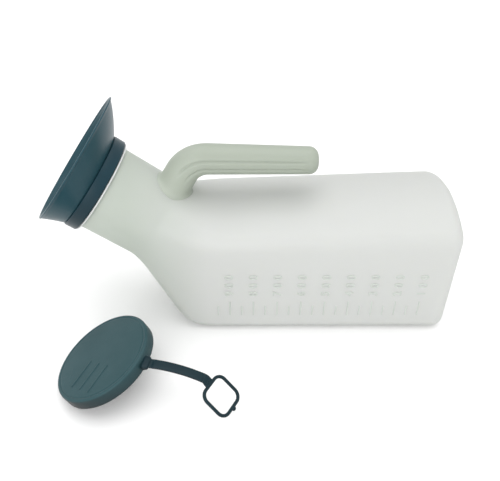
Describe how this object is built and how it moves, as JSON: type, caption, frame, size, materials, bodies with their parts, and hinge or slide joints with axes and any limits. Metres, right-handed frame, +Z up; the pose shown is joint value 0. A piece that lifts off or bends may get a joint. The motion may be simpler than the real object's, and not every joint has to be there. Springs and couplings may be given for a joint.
{
  "type": "urine bottle",
  "caption": "Lying urine bottle with a flat back, slanted neck, open-ended handle, push-on oval funnel adapter, volume scale and a tethered snap cap.",
  "frame": {"origin": "middle of the flat back, on the surface the bottle lies on", "axes": "+X from the mouth towards the base, +Y across, +Z up through the handle"},
  "size_m": [0.2688, 0.1594, 0.1492],
  "materials": {
    "bottle": "milky translucent, satin",
    "handle": "satin",
    "marks": "satin",
    "adapter": "fine satin",
    "cap": "fine satin with light scratches"
  },
  "bodies": {
    "bottle": {"bottle_shell": "bottle", "bottle_neck": "bottle", "grip_handle": "handle", "scale_ticks": "marks", "scale_numerals": "marks"},
    "adapter": {"funnel_collar": "adapter", "funnel_cone": "adapter"},
    "cap": {"cap_shell": "cap", "cap_plug_ring": "cap", "cap_write_lines": "cap", "strap_root": "cap"},
    "strap": {"tether_strap": "cap"},
    "ring": {"tether_ring": "cap"}
  },
  "joints": [
    {"name": "adapter_pull", "type": "slide", "parent": "bottle", "child": "adapter", "axis": [-0.8028, 0, 0.5962], "range_m": [0, 0.045]},
    {"name": "cap_lift", "type": "slide", "parent": "bottle", "child": "cap", "axis": [0, 0, 1], "range_m": [0, 0.1]},
    {"name": "strap_flex", "type": "hinge", "parent": "cap", "child": "strap", "pos_m": [-0.10845, -0.0946, 0.0298], "axis": [0.1805, 0.9836, 0], "range_deg": [-60, 0]},
    {"name": "ring_flex", "type": "hinge", "parent": "strap", "child": "ring", "pos_m": [-0.07809, -0.10017, 0.02301], "axis": [0.5, 0.866, 0], "range_deg": [-60, 0]}
  ]
}
